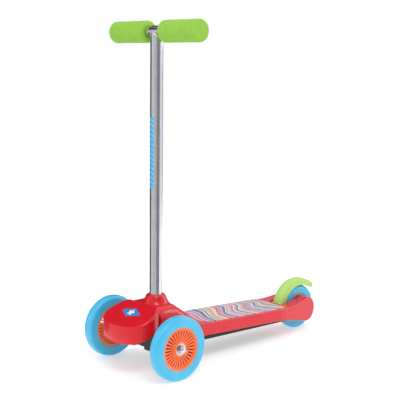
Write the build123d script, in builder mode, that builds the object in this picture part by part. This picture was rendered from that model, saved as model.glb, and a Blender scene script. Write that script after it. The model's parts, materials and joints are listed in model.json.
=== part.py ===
"""Three-wheeled lean-to-steer kick scooter for a small child, in millimetres.

The scooter stands on the plane z = 0 with its front towards -Y and the rider's left towards +X.
The origin is on the floor, under the middle of the scooter's bounding box.
Stations, such as stem_station, are distances behind the front axle.
"""
from build123d import *
from math import atan2, cos, degrees, pi, radians, sin, sqrt, tan
import os

os.makedirs("parts", exist_ok=True)

# ---------------------------------------------------------------- driving dimensions
wheelbase = 425.0
nose_overhang = 67.0  # how far the nose reaches ahead of the front axle

front_wheel_radius = 60.0
front_tyre_width = 22.0
front_track = 199.0  # between the middles of the two front tyres
front_hub_radius = 40.0
front_slot_count = 30
rear_wheel_radius = 47.5
rear_tyre_width = 24.0
rear_hub_radius = 28.5
rear_slot_count = 22

axle_radius = 4.0
bearing_radius = 11.0
bearing_width = 7.0
ball_radius = 1.95
ball_seat = 0.45  # how deep the balls sit in each race
ball_count = 7
hub_bore_length = 18.0

stem_station = 30.6
stem_radius = 12.0
tube_wall = 1.5
bar_height = 627.5
bar_radius = 11.0
grip_radius = 20.4
grip_inner_end = 22.3
grip_outer_end = 120.7
grip_groove_inset = 24.0
grip_outer_round = 6.0
grip_inner_round = 4.0

shell_wall = 3.0
deck_half_width = 52.0
deck_start = 112.0  # station where the standing surface begins
deck_stop = 73.0  # the straight deck ends this far ahead of the rear axle
taper_lead = 95.0  # and begins to narrow this far ahead of it
taper_bend_radius = 150.0
deck_front_z = 75.0
deck_slope = 2.4  # degrees, down to the rear
deck_edge_radius = 2.5
deck_side_height = 24.5
hump_top_z = 122.0
hump_back = 44.0  # station where the hump's top begins to fall
hump_edge_radius = 20.0
arch_z = 91.7  # underside of the shell over the truck
arch_back = 38.0
arch_foot = 64.0
belly_lead = 125.0  # the side wall's straight lower edge ends this far ahead of the rear axle

collar_top_z = 138.0
collar_rim_radius = 15.0
collar_foot_radius = 38.0
collar_foot_drop = 16.0  # below the hump's top, inside the shell
collar_shoulder = 5.5
collar_shoulder_drop = 7.0
collar_side_inset = 4.0
sleeve_wall = 1.5
sleeve_bottom_z = 87.0

nose_half_width = 61.5
nose_slope = 24.0  # degrees, the nose's flat top rises towards the stem
nose_back_z = 123.9
nose_skirt = 32.2
nose_rim_radius = 5.0
nose_back_inset = 13.0  # the nose is narrower again where it meets the deck shell
nose_brow_half = 40.0
nose_brow_drop = 6.0
badge_half_length = 28.0
badge_half_width = 13.0
badge_corner = 1.5
badge_thickness = 0.8
badge_recess = 0.4
badge_place = 0.47  # share of the overhang

ear_radius = 26.0
ear_half_width = 32.0  # at the very end
ear_plan_end = 10.0  # the plan's corners lie this far behind the ears
ear_lead = 6.0  # the ear's highest point is this far ahead of the axle
wheel_well_clearance = 5.5  # from the tyre's side to the ear
well_lead = 18.0  # from the tyre to the front of its well

mat_thickness = 2.0
mat_recess = 1.2
mat_margin = 4.5  # red rim left beside the mat
mat_corner = 24.0
mat_front_gap = 5.0  # from the start of the deck to the mat
mat_rear_gap = 3.0
mat_taper = 7.0  # the mat's rear end is this much narrower, on each side
mat_taper_length = 70.0

pan_wall = 2.5
pan_depth = 14.0
pan_front_z = 43.2
pan_slope = 1.04
pan_start = 4.0  # behind the foot of the arch
pan_screw_count = 4  # along each side
pan_screw_from_side = 17.0
pan_screw_from_end = 25.0
screw_radius = 2.0
screw_head_radius = 4.0
screw_head_height = 2.4
screw_length = 16.0
boss_radius = 5.0

kingpin_rise = 40.0  # degrees above the floor, rising towards the front
kingpin_station = 30.0
kingpin_radius = 5.0
boss_half_length = 9.0
truck_boss_radius = 11.0
bushing_thickness = 5.8
bushing_inset = 0.8  # its rim stands in from the boss
bushing_waist = 1.4
flange_thickness = 4.0
plate_distance = 14.0  # from the kingpin's axis to the bracket's plate
plate_thickness = 4.0
plate_half_width = 26.0
plate_screw_inset = 6.0
plate_screw_spread = 11.0
axle_tube_radius = 7.5
carrier_half_depth = 12.0
carrier_bottom_drop = 20.0  # below the front axle
carrier_top_rise = 14.0
carrier_web = 4.0  # the web that joins the two arms in front
carrier_web_drop = 14.0

bolt_head_radius = 7.0
bolt_head_height = 5.0
bolt_head_sink = 3.0  # below the ear's face
bolt_pocket_gap = 4.5
nut_radius = 7.5
nut_height = 4.5
axle_spacer_length = 3.5
spacer_wall = 2.4
washer_wall = 3.6
washer_thickness = 1.0
rib_half_width = 3.0
rib_height = 2.5

brake_gap = 4.0
brake_thickness = 11.0
brake_wall = 1.8
brake_side_gap = 0.4
brake_skirt = 3.0  # how far its sides hang down beside the tread
brake_haunch = 0.85  # where its round back turns down: share of the half width
brake_haunch_rise = 0.62  # and of the thickness
brake_tail = 23.0
brake_pin_radius = 2.5
brake_pin_lead = 56.0  # ahead of the rear axle
brake_pin_rise = 9.5  # above the rear axle
brake_pin_grip = 10.0  # how far the pin runs into each side of the deck
spring_notch = 4.5

button_z = 130.0
button_radius = 3.5
button_reach = 7.5  # how far the button stands out of the stem

# ---------------------------------------------------------------- named clearances
press = 0.02  # a seat pressed or screwed together
running = 0.05  # a shaft turning in its bore
sliding = 0.08  # the stem in its sleeve
face_gap = 0.15  # flat faces that turn past each other
panel_gap = 0.4  # between covers
through = 400.0  # longer than anything it cuts

# ---------------------------------------------------------------- places worked out from them
front_axle_y = -(wheelbase + rear_wheel_radius - nose_overhang) / 2


def station(distance):
    """Y of a place that lies this far behind the front axle."""
    return front_axle_y + distance


stem_y = station(stem_station)
rear_axle_y = station(wheelbase)
front_axle_z = front_wheel_radius
rear_axle_z = rear_wheel_radius
well_half_width = rear_tyre_width / 2 + wheel_well_clearance
deck_end = wheelbase - deck_stop
taper_start = wheelbase - taper_lead
belly_end = wheelbase - belly_lead
race_thickness = (bearing_radius - axle_radius) / 2 - ball_radius + ball_seat
brake_pin_station = wheelbase - brake_pin_lead
brake_pin_z = rear_axle_z + brake_pin_rise
well_start = wheelbase - rear_wheel_radius - well_lead
finished = []


def finish(piece, name):
    """Names a finished piece and writes it to its own file."""
    piece.part.label = name
    export_step(piece.part, f"parts/{name}.step")
    finished.append(name)


def wheel_plane(x, y, z):
    """A plane at a wheel's middle whose Z axis is the axle, pointing to the rider's left."""
    return Plane(origin=(x, y, z), x_dir=(0, 1, 0), z_dir=(1, 0, 0))


def deck_z(distance):
    """Height of the deck's top at a station."""
    return deck_front_z - (distance - deck_start) * tan(radians(deck_slope))


def wall_foot_z(distance):
    """Height of the lower edge of the deck's side wall at a station."""
    return deck_z(distance) - deck_side_height


# ================================================================ deck shell
# One red moulding: hump, collar round the stem, long deck and the two ears at the rear wheel.
with BuildPart() as hump_envelope:
    with BuildSketch(Plane.YZ):
        with BuildLine():
            Polyline(
                (station(0), arch_z),
                (station(0), hump_top_z),
                (station(hump_back), hump_top_z),
                (station(deck_start), deck_z(deck_start)),
                (station(deck_start), wall_foot_z(deck_start)),
                (station(arch_foot), wall_foot_z(arch_foot)),
                (station(arch_back), arch_z),
                close=True,
            )
        make_face()
    extrude(amount=deck_half_width, both=True)
    shoulders = hump_envelope.edges().filter_by(
        lambda e: e.center().Z > arch_z + 2 and abs(e.center().X) > deck_half_width - 1
    )
    fillet(shoulders.filter_by(lambda e: e.center().Y > station(1)), radius=hump_edge_radius)

with BuildPart() as deck_envelope:
    with BuildSketch(Plane.YZ):
        with BuildLine():
            # straight top and underside, then smooth curves into the round end of the ears
            ear_rise = sqrt(ear_radius**2 - ear_lead**2)
            ear_top = (rear_axle_y - ear_lead, rear_axle_z + ear_rise)
            ear_foot = (rear_axle_y - ear_lead, rear_axle_z - ear_rise)
            saddle = (station(deck_end), deck_z(deck_end))
            belly = (station(belly_end), wall_foot_z(belly_end))
            deck_fall = (1, -tan(radians(deck_slope)))
            Polyline(
                belly,
                (station(arch_foot), wall_foot_z(arch_foot)),
                (station(arch_foot), deck_z(arch_foot)),
                saddle,
            )
            Spline(saddle, ear_top, tangents=[deck_fall, (ear_rise, ear_lead)])
            ThreePointArc(ear_top, (station(wheelbase + ear_radius), rear_axle_z), ear_foot)
            Spline(belly, ear_foot, tangents=[deck_fall, (ear_rise, -ear_lead)])
        make_face()
    extrude(amount=deck_half_width, both=True)
    with BuildSketch() as deck_plan:
        with BuildLine():
            rear_end = station(wheelbase + ear_radius + ear_plan_end)
            Polyline(
                (-deck_half_width, station(0)),
                (deck_half_width, station(0)),
                (deck_half_width, station(taper_start)),
                (ear_half_width, rear_end),
                (-ear_half_width, rear_end),
                (-deck_half_width, station(taper_start)),
                close=True,
            )
        make_face()
        bends = deck_plan.vertices().filter_by(lambda v: abs(v.Y - station(taper_start)) < 1)
        fillet(bends, radius=taper_bend_radius)
    extrude(amount=hump_top_z, mode=Mode.INTERSECT)
    outline = deck_envelope.edges().filter_by(
        lambda e: abs(e.center().X) > ear_half_width - 1 and e.center().Y > station(arch_foot) + 1
    )
    fillet(
        outline.filter_by(lambda e: abs((e % 0.5).Z) < 0.9 or e.center().Y > station(wheelbase)),
        radius=deck_edge_radius,
    )

with BuildPart() as collar_envelope:
    with BuildSketch(Plane.YZ):
        with BuildLine():
            rim = (stem_y + collar_rim_radius, collar_top_z)
            shoulder = (stem_y + collar_rim_radius + collar_shoulder, collar_top_z - collar_shoulder_drop)
            foot = (stem_y + collar_foot_radius, hump_top_z - collar_foot_drop)
            Polyline((stem_y, foot[1]), (stem_y, collar_top_z), rim)
            Spline(rim, shoulder, foot, tangents=[(1, -0.2), (1, -1.2)])
            Line(foot, (stem_y, foot[1]))
        make_face()
    revolve(axis=Axis((0, stem_y, 0), (0, 0, 1)))
    with BuildSketch():
        with Locations((0, station(0))):
            Rectangle(
                2 * (deck_half_width - collar_side_inset), through, align=(Align.CENTER, Align.MIN)
            )
    extrude(amount=collar_top_z, mode=Mode.INTERSECT)

with BuildPart() as outer_envelope:
    add(hump_envelope.part)
    add(deck_envelope.part)
    add(collar_envelope.part)

pan_plane = Plane(
    origin=(0, station(arch_foot), pan_front_z),
    x_dir=(1, 0, 0),
    z_dir=(0, sin(radians(pan_slope)), cos(radians(pan_slope))),
)
pan_length = deck_end - shell_wall - panel_gap - arch_foot - pan_start
screw_pitch = (pan_length - 2 * pan_screw_from_end) / (pan_screw_count - 1)
pan_screw_x = deck_half_width - pan_screw_from_side
pan_screw_spots = [
    (side * pan_screw_x, pan_screw_from_end + row * screw_pitch)
    for side in (-1, 1)
    for row in range(pan_screw_count)
]

kingpin_axis = (0, -cos(radians(kingpin_rise)), sin(radians(kingpin_rise)))
pivot_plane = Plane(
    origin=(0, station(kingpin_station), front_axle_z), x_dir=(1, 0, 0), z_dir=kingpin_axis
)
flange_inside = boss_half_length + bushing_thickness + face_gap
flange_outside = flange_inside + flange_thickness
plate_top = plate_distance + plate_thickness
plate_screw_x = plate_half_width - plate_screw_inset
plate_screw_spots = [
    (side * plate_screw_x, end * plate_screw_spread) for side in (-1, 1) for end in (-1, 1)
]
plate_plane = Plane(
    origin=pivot_plane.from_local_coords(Vector(0, plate_top, 0)), x_dir=(1, 0, 0), z_dir=pivot_plane.y_dir
)

front_wall = Plane.XZ.offset(-station(0))
nose_screw_reach = 12.0
nose_screw_spots = [(side * nose_half_width / 2, (arch_z + hump_top_z) / 2) for side in (-1, 1)]
nose_screw_plane = Plane(origin=(0, station(0), 0), x_dir=(-1, 0, 0), z_dir=(0, 1, 0))
mirrored_spots = [(-x, z) for x, z in nose_screw_spots]

# Ribs and screw towers inside the shell, cut to the outer shape before they join it.
with BuildPart() as towers:
    with BuildSketch(pan_plane.offset(pan_wall)):
        with Locations(*pan_screw_spots):
            Circle(boss_radius)
    extrude(amount=hump_top_z)
    with BuildSketch(plate_plane):
        with Locations(*plate_screw_spots):
            Circle(boss_radius)
    extrude(amount=hump_top_z)
    with BuildSketch(Plane.XY.offset(sleeve_bottom_z)):
        with Locations((0, stem_y)):
            Circle(stem_radius + sliding + sleeve_wall + shell_wall)
    extrude(amount=collar_top_z - sleeve_bottom_z)
    with BuildSketch(front_wall):
        with Locations(*nose_screw_spots):
            Circle(boss_radius)
    extrude(amount=-nose_screw_reach)
    add(outer_envelope.part, mode=Mode.INTERSECT)

inner_half_width = deck_half_width - shell_wall
with BuildPart() as hump_cavity:
    with BuildSketch(Plane.YZ):
        with BuildLine():
            Polyline(
                (station(shell_wall), 0),
                (station(shell_wall), hump_top_z - shell_wall),
                (station(hump_back - 1), hump_top_z - shell_wall),
                (station(deck_start - 1), deck_z(deck_start) - shell_wall),
                (station(deck_start - 1), 0),
                close=True,
            )
        make_face()
    extrude(amount=inner_half_width, both=True)
    cavity_edges = hump_cavity.edges().filter_by(
        lambda e: e.center().Z > deck_z(deck_start) + 5 and abs(e.center().X) > inner_half_width - 1
    )
    fillet(
        cavity_edges.filter_by(lambda e: e.center().Y > station(shell_wall + 1)),
        radius=hump_edge_radius - shell_wall + 1,
    )

mat_plane = Plane(
    origin=(0, station(deck_start), deck_front_z),
    x_dir=(1, 0, 0),
    z_dir=(0, sin(radians(deck_slope)), cos(radians(deck_slope))),
)
mat_length = (deck_end - deck_start - mat_front_gap - mat_rear_gap) / cos(radians(deck_slope))
mat_half_width = deck_half_width - mat_margin


def mat_outline(margin):
    """The mat's outline on the deck: round front corners, narrower towards the rear wheel."""
    half = mat_half_width - margin
    rear = half - mat_taper
    start = mat_front_gap + margin
    end = start + mat_length - 2 * margin
    taper = end - mat_taper_length
    with BuildSketch() as outline:
        with BuildLine():
            Line((-half + mat_corner, start), (half - mat_corner, start))
            RadiusArc((half - mat_corner, start), (half, start + mat_corner), -mat_corner)
            Line((half, start + mat_corner), (half, taper))
            Spline((half, taper), (rear, end), tangents=[(0, 1), (-0.25, 1)])
            Line((rear, end), (-rear, end))
            Spline((-rear, end), (-half, taper), tangents=[(-0.25, -1), (0, -1)])
            Line((-half, taper), (-half, start + mat_corner))
            RadiusArc((-half, start + mat_corner), (-half + mat_corner, start), -mat_corner)
        make_face()
    return outline.sketch


rear_middle = wheel_plane(0, rear_axle_y, rear_axle_z)
ear_half_at_axle = deck_half_width - (deck_half_width - ear_half_width) * (
    (wheelbase - taper_start) / (wheelbase + ear_radius + ear_plan_end - taper_start)
)
bolt_head_x = ear_half_at_axle - bolt_head_sink
nut_outer_x = bolt_head_x - bolt_head_height
pin_y = station(brake_pin_station)
pin_x = well_half_width + brake_pin_grip

with BuildPart() as deck_shell:
    add(outer_envelope.part)
    add(hump_cavity.part, mode=Mode.SUBTRACT)
    with BuildSketch(Plane.YZ):
        with BuildLine():
            Polyline(
                (station(arch_foot + 2), 0),
                (station(arch_foot + 2), deck_z(deck_start) - shell_wall - mat_recess),
                (station(deck_start), deck_z(deck_start) - shell_wall - mat_recess),
                (station(deck_end - shell_wall), deck_z(deck_end) - shell_wall - mat_recess),
                (station(deck_end - shell_wall), 0),
                close=True,
            )
        make_face()
    extrude(amount=inner_half_width, both=True, mode=Mode.SUBTRACT)
    add(towers.part)
    with BuildSketch(mat_plane.offset(-mat_recess)):
        add(mat_outline(0))
    extrude(amount=through, mode=Mode.SUBTRACT)
    # the rear wheel's well, open to the back
    with BuildSketch():
        with Locations((0, station(well_start))):
            Rectangle(2 * well_half_width, through, align=(Align.CENTER, Align.MIN))
    extrude(amount=hump_top_z, mode=Mode.SUBTRACT)
    # the sleeve's bore, with a lip round the stem at the top
    lip_z = collar_top_z - 2.5
    with BuildSketch(Plane.XY.offset(sleeve_bottom_z)):
        with Locations((0, stem_y)):
            Circle(stem_radius + sliding + sleeve_wall + press)
    extrude(amount=lip_z - sleeve_bottom_z, mode=Mode.SUBTRACT)
    with BuildSketch(Plane.XY.offset(lip_z)):
        with Locations((0, stem_y)):
            Circle(stem_radius + panel_gap)
    extrude(amount=collar_top_z, mode=Mode.SUBTRACT)
    # the snap button's hole, at the back of the collar
    with BuildSketch(Plane.ZX.offset(stem_y)):
        with Locations((button_z, 0)):
            Circle(button_radius + 2 * sliding)
    extrude(amount=collar_foot_radius + 20, mode=Mode.SUBTRACT)

    # pilot holes for the screws from the underpan, the steering bracket and the nose
    for plane, spots, reach in (
        (pan_plane, pan_screw_spots, screw_length + 1),
        (plate_plane, plate_screw_spots, screw_length - plate_thickness + 1),
        (nose_screw_plane, mirrored_spots, nose_screw_reach),
    ):
        with BuildSketch(plane):
            with Locations(*spots):
                Circle(screw_radius + press)
        extrude(amount=reach, mode=Mode.SUBTRACT)
    # the rear axle's hole, with a pocket for its head on the right and for its nut on the left
    with BuildSketch(rear_middle.offset(-through / 2)):
        Circle(axle_radius + press)
    extrude(amount=through / 2 + nut_outer_x, mode=Mode.SUBTRACT)
    with BuildSketch(rear_middle.offset(-through / 2)):
        Circle(axle_radius + bolt_pocket_gap)
    extrude(amount=through / 2 - bolt_head_x + bolt_head_height, mode=Mode.SUBTRACT)
    with BuildSketch(rear_middle):
        RegularPolygon(nut_radius + press, 6)
    extrude(amount=nut_outer_x, mode=Mode.SUBTRACT)
    # the brake pin's hole, open on the right so that the pin can be driven in
    with BuildSketch(wheel_plane(-through / 2, pin_y, brake_pin_z)):
        Circle(brake_pin_radius + press)
    extrude(amount=through / 2 + pin_x, mode=Mode.SUBTRACT)

with BuildPart() as deck_mat:
    with BuildSketch(mat_plane.offset(-mat_recess)):
        add(mat_outline(panel_gap))
    extrude(amount=mat_thickness)
    fillet(deck_mat.faces().sort_by(Axis.Z)[-1].edges(), radius=0.6)


# ================================================================ steering bracket and kingpin
# A steel fork screwed under the hump holds an inclined pin; the truck turns on that pin.
with BuildPart(pivot_plane) as steering_bracket:
    with Locations((0, plate_distance + plate_thickness / 2, 0)):
        Box(2 * plate_half_width, plate_thickness, 2 * flange_outside)
    for side in (-1, 1):
        flange_middle = side * (flange_inside + flange_thickness / 2)
        with Locations((0, 0, flange_middle)):
            Cylinder(truck_boss_radius, flange_thickness)
        with Locations((0, (plate_distance + 1) / 2, flange_middle)):
            Box(2 * truck_boss_radius, plate_distance + 1, flange_thickness)
    Cylinder(kingpin_radius + press, through, mode=Mode.SUBTRACT)
    with BuildSketch(plate_plane):
        with Locations(*plate_screw_spots):
            Circle(screw_radius + press)
    extrude(amount=-2 * plate_thickness, mode=Mode.SUBTRACT)

kingpin_head_radius = 8.0
kingpin_head_height = 4.5
kingpin_nut_radius = 8.5
kingpin_nut_height = 6.0
kingpin_thread_showing = 1.0
kingpin_foot = -flange_outside - kingpin_head_height
with BuildPart() as kingpin:
    with BuildSketch(pivot_plane.offset(kingpin_foot)):
        RegularPolygon(kingpin_head_radius, 6)
    extrude(amount=kingpin_head_height)
    with BuildSketch(pivot_plane.offset(-flange_outside)):
        Circle(kingpin_radius)
    extrude(amount=2 * flange_outside + kingpin_nut_height + kingpin_thread_showing)

with BuildPart() as kingpin_nut:
    with BuildSketch(pivot_plane.offset(flange_outside)):
        RegularPolygon(kingpin_nut_radius, 6)
        Circle(kingpin_radius + press, mode=Mode.SUBTRACT)
    extrude(amount=kingpin_nut_height)


def make_bushing(middle):
    """A waisted rubber ring on the kingpin, between the truck's boss and a flange."""
    centre = pivot_plane.offset(middle).origin
    half = bushing_thickness / 2
    bore = kingpin_radius + running
    face = truck_boss_radius - bushing_inset
    with BuildPart() as bushing:
        with BuildSketch(Plane(origin=centre, x_dir=(1, 0, 0), z_dir=-pivot_plane.y_dir)):
            with BuildLine():
                Polyline((face, -half), (bore, -half), (bore, half), (face, half))
                ThreePointArc((face, half), (face - bushing_waist, 0), (face, -half))
            make_face()
        revolve(axis=Axis(centre, kingpin_axis))
    return bushing


bushing_middle = boss_half_length + bushing_thickness / 2


# ================================================================ axle carrier
# A black nylon beam under the nose: two arms, an axle tube and the boss that the kingpin runs in.
hub_inner_x = (front_track - hub_bore_length) / 2
hub_outer_x = hub_inner_x + hub_bore_length
carrier_end = hub_inner_x - axle_spacer_length
arm_start = truck_boss_radius + 5.0
axle_t = kingpin_station * cos(radians(kingpin_rise))
axle_n = -kingpin_station * sin(radians(kingpin_rise))


def pivot_point(away, along):
    """Y and Z of a point given across and along the kingpin."""
    place = pivot_plane.from_local_coords(Vector(0, away, along))
    return (place.Y, place.Z)


across = Location((0, front_axle_y, front_axle_z), (0, 90, 0))
with BuildPart() as axle_carrier:
    with BuildSketch(Plane.XZ.offset(-front_axle_y - carrier_half_depth)):
        for side in (-1, 1):
            with BuildLine():
                Polyline(
                    (side * arm_start, front_axle_z - carrier_bottom_drop),
                    (side * carrier_end * 0.6, front_axle_z - carrier_bottom_drop),
                    (side * carrier_end, front_axle_z - axle_tube_radius - 4),
                    (side * carrier_end, front_axle_z + axle_tube_radius),
                    (side * carrier_end * 0.7, front_axle_z + carrier_top_rise),
                    (side * arm_start, front_axle_z + carrier_top_rise),
                    close=True,
                )
            make_face()
    extrude(amount=2 * carrier_half_depth)
    chamfer(axle_carrier.edges().filter_by(GeomType.LINE).filter_by(Axis.Y, reverse=True), length=2.0)
    with BuildSketch(Plane.XZ.offset(-front_axle_y + carrier_half_depth - carrier_web)):
        with Locations((0, front_axle_z)):
            Rectangle(2 * arm_start + 4, carrier_web_drop, align=(Align.CENTER, Align.MAX))
    extrude(amount=carrier_web)
    with Locations(across):
        Cylinder(axle_tube_radius, 2 * carrier_end)
    with Locations(pivot_plane.location):
        Cylinder(truck_boss_radius, 2 * boss_half_length)
    with BuildSketch(Plane.YZ):
        with BuildLine():
            Polyline(
                pivot_point(-kingpin_radius, boss_half_length),
                pivot_point(-truck_boss_radius - 1, boss_half_length),
                pivot_point(-truck_boss_radius - 1.5, axle_t - 7),
                pivot_point(axle_n, axle_t),
                pivot_point(axle_n - 5, axle_t - 5),
                pivot_point(axle_n, 0),
                pivot_point(-kingpin_radius, -boss_half_length),
                close=True,
            )
        make_face()
    extrude(amount=truck_boss_radius - 2, both=True)
    with Locations(across):
        Cylinder(axle_radius + press, through, mode=Mode.SUBTRACT)
    with Locations(pivot_plane.location):
        Cylinder(kingpin_radius + running, 4 * boss_half_length, mode=Mode.SUBTRACT)

front_axle_end = hub_outer_x + washer_thickness + nut_height - 1
with BuildPart(across) as front_axle:
    Cylinder(axle_radius, 2 * front_axle_end)
    chamfer(front_axle.edges().filter_by(GeomType.CIRCLE), length=0.8)


def ring(plane, starts, length, inner, outer):
    """Equal rings round the plane's Z axis, one at each start."""
    with BuildPart() as rings:
        for start in starts:
            with BuildSketch(plane.offset(start)):
                Circle(outer)
                Circle(inner, mode=Mode.SUBTRACT)
            extrude(amount=length)
    return rings


front_middle = wheel_plane(0, front_axle_y, front_axle_z)
axle_spacers = ring(
    front_middle,
    (-hub_inner_x, carrier_end),
    axle_spacer_length,
    axle_radius + press,
    axle_radius + spacer_wall,
)
axle_washers = ring(
    front_middle,
    (-hub_outer_x - washer_thickness, hub_outer_x),
    washer_thickness,
    axle_radius + press,
    axle_radius + washer_wall,
)
nut_dome_radius = 5.8
nut_dome_height = 3.0
with BuildPart() as axle_nuts:
    for side in (-1, 1):
        seat = wheel_plane(side * (hub_outer_x + washer_thickness), front_axle_y, front_axle_z)
        with BuildSketch(seat):
            RegularPolygon(nut_radius, 6)
        extrude(amount=side * nut_height)
        with BuildSketch(seat.offset(side * nut_height)):
            Circle(nut_dome_radius)
        extrude(amount=side * nut_dome_height)
        crown = axle_nuts.faces().sort_by(Axis.X)[-1 if side > 0 else 0]
        fillet(crown.edges(), radius=nut_dome_height - 0.2)
        with BuildSketch(seat):
            Circle(axle_radius + press)
        extrude(amount=side * nut_height, mode=Mode.SUBTRACT)


# ================================================================ wheels
# Each wheel is a soft tyre moulded on a slotted plastic hub that holds two ball bearings.
def make_tyre(plane, radius, width, seat):
    """A tyre with flat flanks and a round tread, with a groove for the hub's rib."""
    half = width / 2
    flank = radius - half * 0.8
    with BuildPart() as tyre:
        with BuildSketch(Plane(origin=plane.origin, x_dir=plane.z_dir, z_dir=-plane.x_dir)):
            with BuildLine():
                Polyline((half - 1.5, seat), (half, seat + 1.5), (half, flank))
                Spline(
                    (half, flank), (0, radius), (-half, flank), tangents=[(0.1, 1), (-0.1, -1)]
                )
                Polyline((-half, flank), (-half, seat + 1.5), (-half + 1.5, seat))
                Polyline(
                    (-half + 1.5, seat),
                    (-rib_half_width, seat),
                    (-rib_half_width, seat + rib_height),
                    (rib_half_width, seat + rib_height),
                    (rib_half_width, seat),
                    (half - 1.5, seat),
                )
            make_face()
        revolve(axis=Axis(plane.origin, plane.z_dir))
    return tyre


def make_hub(plane, width, seat, slot_count):
    """A hub: bearing boss, slotted web and a rim with a rib that locks the tyre."""
    boss_outer = bearing_radius + 2.5
    rim_inner = seat - 3.5
    web_half = hub_bore_length / 2 - 2.5
    rim_half = width / 2 - 1.5
    boss_half = hub_bore_length / 2
    slot_inner = boss_outer + 2.0
    slot_outer = rim_inner - 2.5
    slot_share = pi / (2 * slot_count)  # half of a slot's angle; slots and spokes are equally wide
    with BuildSketch() as slot:
        with BuildLine():
            Polyline(
                (slot_inner, -slot_inner * slot_share),
                (slot_outer, -slot_outer * slot_share),
                (slot_outer, slot_outer * slot_share),
                (slot_inner, slot_inner * slot_share),
                close=True,
            )
        make_face()
    with BuildPart() as hub:
        with BuildSketch(Plane(origin=plane.origin, x_dir=plane.z_dir, z_dir=-plane.x_dir)):
            with BuildLine():
                Polyline(
                    (boss_half, bearing_radius + press),
                    (boss_half, boss_outer),
                    (web_half, boss_outer + 0.8),
                    (web_half, rim_inner - 1.0),
                    (rim_half, rim_inner),
                    (rim_half, seat),
                    (rib_half_width, seat),
                    (rib_half_width, seat + rib_height),
                    (-rib_half_width, seat + rib_height),
                    (-rib_half_width, seat),
                    (-rim_half, seat),
                    (-rim_half, rim_inner),
                    (-web_half, rim_inner - 1.0),
                    (-web_half, boss_outer + 0.8),
                    (-boss_half, boss_outer),
                    (-boss_half, bearing_radius + press),
                    (-boss_half + bearing_width, bearing_radius + press),
                    (-boss_half + bearing_width, bearing_radius - 1.2),
                    (boss_half - bearing_width, bearing_radius - 1.2),
                    (boss_half - bearing_width, bearing_radius + press),
                    close=True,
                )
            make_face()
        revolve(axis=Axis(plane.origin, plane.z_dir))
        with BuildSketch(plane.offset(-through / 2)):
            with PolarLocations(0, slot_count):
                add(slot.sketch)
        extrude(amount=through, mode=Mode.SUBTRACT)
    return hub


def make_balls(plane, centres):
    """The balls of both bearings of a wheel."""
    pitch_radius = (axle_radius + bearing_radius) / 2
    with BuildPart() as balls:
        for centre in centres:
            with Locations(plane.offset(centre)):
                with PolarLocations(pitch_radius, ball_count):
                    Sphere(ball_radius)
    return balls


def make_races(plane, centres, inner, outer, groove_radius):
    """The inner or outer races of both bearings, with a groove for the balls."""
    pitch_radius = (axle_radius + bearing_radius) / 2
    races = ring(plane, [centre - bearing_width / 2 for centre in centres], bearing_width, inner, outer)
    with BuildPart() as grooved:
        add(races.part)
        for centre in centres:
            with Locations(plane.offset(centre)):
                Torus(pitch_radius, groove_radius, mode=Mode.SUBTRACT)
    return grooved


def make_wheel(name, plane, radius, width, seat, slot_count):
    """Writes every piece of one wheel and of its bearings."""
    seat_middle = (hub_bore_length - bearing_width) / 2
    centres = (-seat_middle, seat_middle)
    shield_starts = [side * (bearing_width / 2 - 0.6) + c - 0.2 for c in centres for side in (-1, 1)]
    finish(make_tyre(plane, radius, width, seat), f"{name}_tyre")
    finish(make_hub(plane, width, seat, slot_count), f"{name}_hub")
    outer_race = make_races(
        plane, centres, bearing_radius - race_thickness, bearing_radius, ball_radius + press
    )
    finish(outer_race, f"{name}_outer_races")
    inner_race = make_races(
        plane, centres, axle_radius + press, axle_radius + race_thickness, ball_radius + 2 * running
    )
    finish(inner_race, f"{name}_inner_races")
    finish(make_balls(plane, centres), f"{name}_bearing_balls")
    shields = ring(
        plane, shield_starts, 0.4, axle_radius + race_thickness + 0.3, bearing_radius - race_thickness
    )
    finish(shields, f"{name}_bearing_shields")
    sleeve_half = hub_bore_length / 2 - bearing_width
    sleeve = ring(plane, [-sleeve_half], 2 * sleeve_half, axle_radius + press, axle_radius + 1.6)
    finish(sleeve, f"{name}_bearing_sleeve")


for name, side in (("left", 1), ("right", -1)):
    middle = wheel_plane(side * front_track / 2, front_axle_y, front_axle_z)
    make_wheel(name, middle, front_wheel_radius, front_tyre_width, front_hub_radius, front_slot_count)
make_wheel("rear", rear_middle, rear_wheel_radius, rear_tyre_width, rear_hub_radius, rear_slot_count)


# ================================================================ nose cowl and badge
# A red cover that hides the truck, screwed to the front wall of the deck shell.
nose_plane = Plane(
    origin=(0, station(0), nose_back_z),
    x_dir=(1, 0, 0),
    z_dir=(0, -sin(radians(nose_slope)), cos(radians(nose_slope))),
)
nose_fall = tan(radians(nose_slope))
nose_back_half = nose_half_width - nose_back_inset


def nose_side(top_drop, bottom_z_drop):
    """The nose's side view: a slab that slopes down to the front."""
    ahead = nose_overhang + 5
    with BuildSketch() as outline:
        with BuildLine():
            Polyline(
                (station(-panel_gap), nose_back_z - top_drop),
                (station(-ahead), nose_back_z - top_drop - ahead * nose_fall),
                (station(-ahead), nose_back_z - bottom_z_drop - ahead * nose_fall),
                (station(-panel_gap), nose_back_z - bottom_z_drop),
                close=True,
            )
        make_face()
    return outline.sketch


def nose_plan(inset):
    """The nose's outline from above: three tangent arcs a side and a straight back."""
    brow_turn = 2 * degrees(atan2(nose_brow_drop, nose_brow_half))
    brow_radius = nose_brow_half / sin(radians(brow_turn))
    cheek_radius = (nose_half_width - nose_brow_half) / (1 - sin(radians(brow_turn)))
    back = station(-panel_gap - inset)
    with BuildSketch() as outline:
        with BuildLine():
            brow = JernArc(
                (0, station(-nose_overhang + inset)), (1, 0), brow_radius - inset, brow_turn
            )
            cheek = JernArc(brow @ 1, brow % 1, cheek_radius - inset, 90 - brow_turn)
            jowl = TangentArc(cheek @ 1, (nose_back_half - inset, back), tangent=cheek % 1)
            Line(jowl @ 1, (0, back))
            mirror(about=Plane.YZ)
        make_face()
    return outline.sketch


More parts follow.
